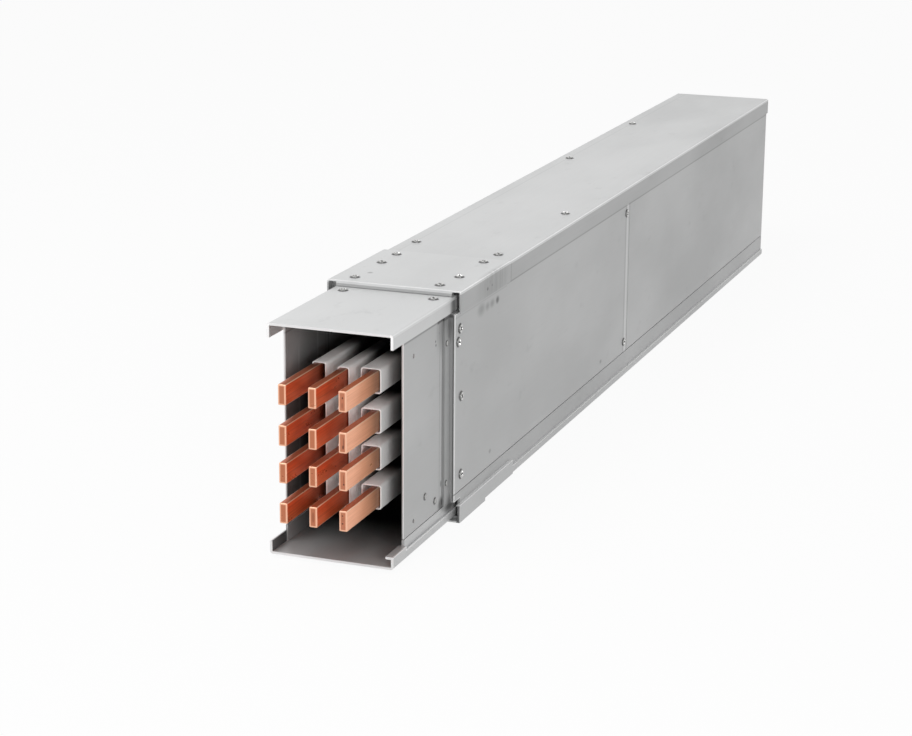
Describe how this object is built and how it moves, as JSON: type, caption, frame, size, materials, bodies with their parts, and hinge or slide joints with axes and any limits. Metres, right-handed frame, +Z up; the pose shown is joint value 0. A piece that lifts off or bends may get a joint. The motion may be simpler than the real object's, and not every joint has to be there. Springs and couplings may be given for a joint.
{
  "type": "busway section",
  "caption": "Sheet-metal busway section with an open bar end, sleeved copper bars in a grid and a joint cover over the duct's start.",
  "frame": {"origin": "middle of the overall box at its lowest plane, under the duct", "axes": "+Y along the duct, away from the open bar end, +Z up, +X to the right seen from the bar end"},
  "size_m": [0.179, 1.881, 0.302],
  "materials": {
    "satin_sheet": "satin, faintly grained",
    "bright_fixings": "plated, semi-bright",
    "bare_copper": null,
    "white_insulation": "matte, off-white",
    "support_board": "matte, near black"
  },
  "bodies": {
    "root": {"end_top_cap": "satin_sheet", "end_bottom_channel": "satin_sheet", "top_cover": "satin_sheet", "bottom_cover": "satin_sheet", "joint_top_cover": "satin_sheet", "joint_bottom_cover": "satin_sheet", "end_side_plate_left": "satin_sheet", "closure_angle_left": "satin_sheet", "bottom_rail_left": "satin_sheet", "side_panel_front_left": "satin_sheet", "side_panel_rear_left": "satin_sheet", "seam_strip_left": "satin_sheet", "side_panel_screws_left": "bright_fixings", "seam_screws_left": "bright_fixings", "closure_rivets_left": "bright_fixings", "end_plate_rivets_left": "bright_fixings", "end_side_plate_right": "satin_sheet", "closure_angle_right": "satin_sheet", "bottom_rail_right": "satin_sheet", "side_panel_front_right": "satin_sheet", "side_panel_rear_right": "satin_sheet", "seam_strip_right": "satin_sheet", "side_panel_screws_right": "bright_fixings", "seam_screws_right": "bright_fixings", "closure_rivets_right": "bright_fixings", "end_plate_rivets_right": "bright_fixings", "end_cap_screws": "bright_fixings", "joint_cover_screws": "bright_fixings", "top_cover_screws": "bright_fixings", "bar_row1_left": "bare_copper", "sleeve_row1_left": "white_insulation", "bar_row1_middle": "bare_copper", "sleeve_row1_middle": "white_insulation", "bar_row1_right": "bare_copper", "sleeve_row1_right": "white_insulation", "bar_row2_left": "bare_copper", "sleeve_row2_left": "white_insulation", "bar_row2_middle": "bare_copper", "sleeve_row2_middle": "white_insulation", "bar_row2_right": "bare_copper", "sleeve_row2_right": "white_insulation", "bar_row3_left": "bare_copper", "sleeve_row3_left": "white_insulation", "bar_row3_middle": "bare_copper", "sleeve_row3_middle": "white_insulation", "bar_row3_right": "bare_copper", "sleeve_row3_right": "white_insulation", "bar_row4_left": "bare_copper", "sleeve_row4_left": "white_insulation", "bar_row4_middle": "bare_copper", "sleeve_row4_middle": "white_insulation", "bar_row4_right": "bare_copper", "sleeve_row4_right": "white_insulation", "bar_support_1": "support_board", "bar_support_2": "support_board", "bar_support_3": "support_board", "bar_support_4": "support_board", "bar_support_5": "support_board"}
  },
  "joints": []
}
